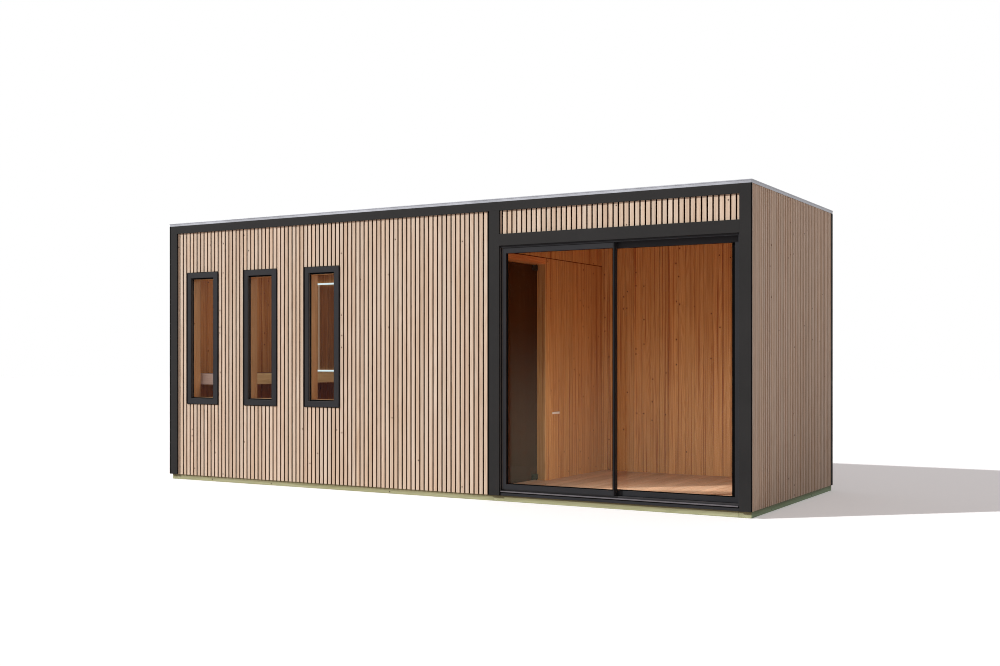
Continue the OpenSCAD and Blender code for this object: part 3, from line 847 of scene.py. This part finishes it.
def leaf_seals_and_painted_light():
    """Gaskets round the panes, partly painted shade, and strips on the leaves' edges, some painted
    shade or highlight.
    """
    for side, seed in (("left", 61), ("right", 62)):
        leaf = Piece(side + "_leaf_seals_and_painted_light", seed, [RUBBER_AND_SHADE_LINE, FRAME, BEAD_AND_HIGHLIGHT])
        low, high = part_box(side + "_leaf_glass")
        front = low.y - GASKET_PROUD
        # The right leaf's right gasket is wide: partly painted shade over the stile
        left, right = low.x + GASKET_LEFT, high.x - GASKET_RIGHT[side]
        leaf.bar((low.x, front, low.z), (left, low.y, high.z), Z)
        leaf.bar((right, front, low.z), (high.x, low.y, high.z), Z)
        for z0, z1 in ((low.z, low.z + GASKET_FOOT), (high.z - GASKET_HEAD, high.z)):
            leaf.bar((left, front, z0), (right, low.y, z1), X, STRIP_EDGE)
        if side == "right":
            near = (high.x - LEAF_LIP, front - SKIN, low.z)
            leaf.bar(near, (high.x, low.y, high.z), Z, STRIP_EDGE, FRAME)
        else:
            # Painted shade, partly a brush seal: a black strip over the meeting stile's face
            stile = high.x
            low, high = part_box("left_leaf_frame")
            leaf.bar((stile, low.y - SKIN, low.z), (high.x, low.y + SKIN, high.z), Z, STRIP_EDGE)
            near = (stile + BRUSH_START, low.y - 2 * SKIN, low.z)
            leaf.bar(near, (stile + BRUSH_END, low.y, high.z), Z, STRIP_EDGE, FRAME)
            # Painted highlight: a pale strip on the leaf's left edge, in the post's shadow
            far = (low.x + LEAF_HIGHLIGHT, low.y + SKIN, high.z)
            leaf.bar((low.x, low.y - SKIN, low.z), far, Z, FINE_EDGE, BEAD_AND_HIGHLIGHT)
        leaf.place(side + "_leaf", "dark_frame")


def painted_light_and_shade_lines():
    """Thin lines of painted light and shade: black beside the posts and under the sill's nosing,
    pale on the jamb.
    """
    piece = Piece("painted_light_and_shade_lines", 65, [RUBBER_AND_SHADE_LINE, BEAD_AND_HIGHLIGHT])
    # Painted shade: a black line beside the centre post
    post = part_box("centre_post")[0].x
    low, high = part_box("front_cladding")
    far = (post, low.y + POST_SHADE_LINE_SUNK, high.z)
    piece.bar((post - POST_SHADE_LINE, low.y - SKIN, low.z), far, Z, STRIP_EDGE)
    # Painted shade: black lines at the edges of the corner posts
    low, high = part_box("front_corner_posts")
    for x0, x1 in ((low.x, low.x + LEFT_CORNER_LINE), (high.x - RIGHT_CORNER_LINE, high.x)):
        piece.bar((x0, low.y - SKIN, low.z), (x1, low.y + SKIN, high.z), Z, FINE_EDGE)
    # Painted highlight: a pale strip on the jamb, in the post's shadow
    low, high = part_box("door_frame_jambs")
    far = (low.x + JAMB_HIGHLIGHT, low.y + SKIN, high.z)
    piece.bar((low.x, low.y - SKIN, low.z), far, Z, FINE_EDGE, BEAD_AND_HIGHLIGHT)
    # Painted shade: a black line under the sill's nosing
    low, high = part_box("door_sill")
    far = (high.x, low.y + SKIN, high.z - SILL_SHADE_TOP)
    piece.bar((low.x, low.y - SKIN, high.z - SILL_SHADE_FOOT), far, X, FINE_EDGE)
    piece.place("cabin", "dark_trim")


# --- Sauna room ---


def sauna_room():
    """The bench's planks and two-sided fascia, in painted light and shade, and the panel's painted
    light strip.
    """
    low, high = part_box("bench")
    bench = Piece("bench_planks", 51, [BENCH, BENCH_END_LIT, BENCH_TOP_SHADE])
    count, pitch = even_steps(high.x - low.x, PLANK_WIDTH)
    for i in range(count):
        bench.new_mark()
        x0 = low.x + i * pitch + PLANK_GAP / 2
        near = (x0, low.y + FASCIA, high.z - PLANK_DEPTH)
        bench.bar(near, (x0 + pitch - PLANK_GAP, high.y, high.z), Y, PLANK_EDGE, BENCH_TOP_SHADE)
    top = high.z - FASCIA_DROP
    bench.new_mark()
    near = (high.x - FASCIA, low.y + FASCIA, low.z)
    bench.bar(near, (high.x, high.y, top), Y, PLANK_EDGE)
    bench.new_mark()
    bench.bar(low, (high.x, low.y + FASCIA, top), X, PLANK_EDGE, BENCH_END_LIT)
    bench.place("cabin", "bench_wood", "bench")

    low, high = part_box("light_panel")
    panel = Piece("light_panel_boards", 52, [PANEL, PAINTED_LIGHT_STRIP])
    panel.boards(low, high, Z, X, PANEL_BOARD)
    # Painted light: a glowing strip on the panel
    near = (low.x + LIT_START, low.y - LIT_PROUD, low.z)
    panel.bar(near, (low.x + LIT_END, low.y + SKIN, high.z), Z, PLAIN_EDGE, PAINTED_LIGHT_STRIP)
    panel.place("cabin", "panel_wood", "light_panel")


# --- Camera, light and stage ---


# The camera as the perspective of the photograph gives it
CAMERA_PLACE = (5.908, -9.818, 1.194)
CAMERA_AIM = (-0.5054, 0.8629, 0.0)
CAMERA_LENS = 43.27
CAMERA_SENSOR = 36.0
CAMERA_SHIFT = 0.026

# The sun: how far its rays turn from straight into the front, and how high it stands
SUN_TURN = math.radians(47)
SUN_HEIGHT = math.radians(31)
SUN_SIZE = math.radians(1.0)

# The sky's light on the object, and the floor's colour in that light and to the eye
SKY = (1.02, 0.915, 0.915, 1)
SKY_STRENGTH = 0.33
FLOOR_LIT = (0.74, 0.62, 0.58, 1)
FLOOR_SEEN = (0.95, 0.95, 0.95, 1)
FLOOR_GLOW = 0.24
FLOOR_REACH = 60.0
WHITE = (1, 1, 1, 1)


def camera():
    data = bpy.data.cameras.new("camera")
    data.lens = CAMERA_LENS
    data.sensor_width = CAMERA_SENSOR
    data.shift_y = CAMERA_SHIFT
    made = show("camera", data)
    made.location = CAMERA_PLACE
    point_at(made, CAMERA_AIM)
    bpy.context.scene.camera = made


def lamp(name, kind, place, aim, **settings):
    data = bpy.data.lights.new(name, kind)
    for key, value in settings.items():
        setattr(data, key, value)
    made = show(name, data)
    made.location = place
    point_at(made, aim)


def lights():
    """The sun from the front left, and a soft lamp in each room."""
    level = math.cos(SUN_HEIGHT)
    rays = (math.sin(SUN_TURN) * level, math.cos(SUN_TURN) * level, -math.sin(SUN_HEIGHT))
    lamp("sun", "SUN", place=(0, 0, 5), aim=rays, energy=3.4, angle=SUN_SIZE)
    lamp(
        "lounge_lamp", "AREA", place=(2.0, -0.6, 0.5), aim=(-0.45, 1, 0.3),
        energy=9.4, shape="RECTANGLE", size=1.6, size_y=0.6,
    )
    lamp(
        "sauna_lamp", "AREA", place=(-1.2, -0.1, 2.3), aim=(0, 0, -1),
        energy=13.0, shape="RECTANGLE", size=2.4, size_y=1.2,
    )


def sky():
    """A soft even light on the object, and plain white to the rays that show the backdrop."""
    world = bpy.data.worlds.new("studio")
    bpy.context.scene.world = world
    world.use_nodes = True
    nodes = Nodes(world.node_tree)
    background = world.node_tree.nodes["Background"]
    seen = nodes.seen()
    nodes.put(background.inputs["Color"], nodes.mix(seen, SKY, WHITE))
    nodes.put(background.inputs["Strength"], nodes.spread(seen, 0.0, 1.0, SKY_STRENGTH, 1.0))


def stage():
    """A big pale floor. To the rays that show it, it glows a little, up to plain white."""
    mesh = bpy.data.meshes.new("studio_floor")
    signs = ((-1, -1), (1, -1), (1, 1), (-1, 1))
    corners = [(a * FLOOR_REACH, b * FLOOR_REACH, -1 * MM) for a, b in signs]
    mesh.from_pydata(corners, [], [[0, 1, 2, 3]])
    shade = Shade("studio_floor", Roughness=0.9, Specular_IOR_Level=0.0, Emission_Color=WHITE)
    seen = shade.seen()
    shade.set(Base_Color=shade.mix(seen, FLOOR_LIT, FLOOR_SEEN))
    shade.set(Emission_Strength=shade.math("MULTIPLY", seen, FLOOR_GLOW))
    mesh.materials.append(shade.material)
    show("studio_floor", mesh)


# The picture: plain colours, and pixels sharp enough for the slats
bpy.context.scene.view_settings.view_transform = "Standard"
bpy.context.scene.cycles.filter_width = 1.0

camera()
lights()
sky()
stage()
dress_all()
cladding()
linings()
window_reveals()
window_seals_and_painted_light()
partition()
tracks()
leaf_seals_and_painted_light()
painted_light_and_shade_lines()
sauna_room()
